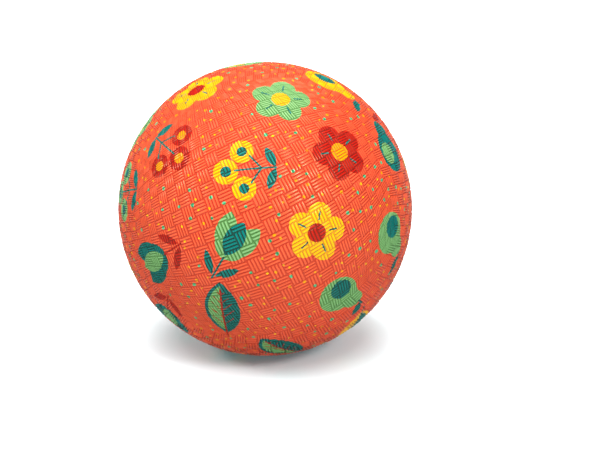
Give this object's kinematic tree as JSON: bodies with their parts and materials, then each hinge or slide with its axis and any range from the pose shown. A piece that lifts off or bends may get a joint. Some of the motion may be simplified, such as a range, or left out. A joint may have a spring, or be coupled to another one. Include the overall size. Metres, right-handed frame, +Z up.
{
  "type": "rubber ball",
  "caption": "Inflatable rubber play ball: a hollow ball of moulded rubber with a raised basketweave grip, a printed pattern and a self-sealing needle valve.",
  "frame": {"origin": "centre of the small flat on which the ball stands, straight below the ball's centre", "axes": "+Z up, +Y out through the valve, so the printed side away from the valve faces -Y"},
  "size_m": [0.1778, 0.1773, 0.1773],
  "materials": {
    "cover_rubber": "satin",
    "liner_rubber": "matte",
    "housing_rubber": "satin",
    "patch_rubber": "matte",
    "plug_rubber": "satin"
  },
  "bodies": {
    "root": {"outer_cover": "cover_rubber", "inner_liner": "liner_rubber", "valve_housing": "housing_rubber", "valve_patch": "patch_rubber", "valve_plug": "plug_rubber"}
  },
  "joints": []
}
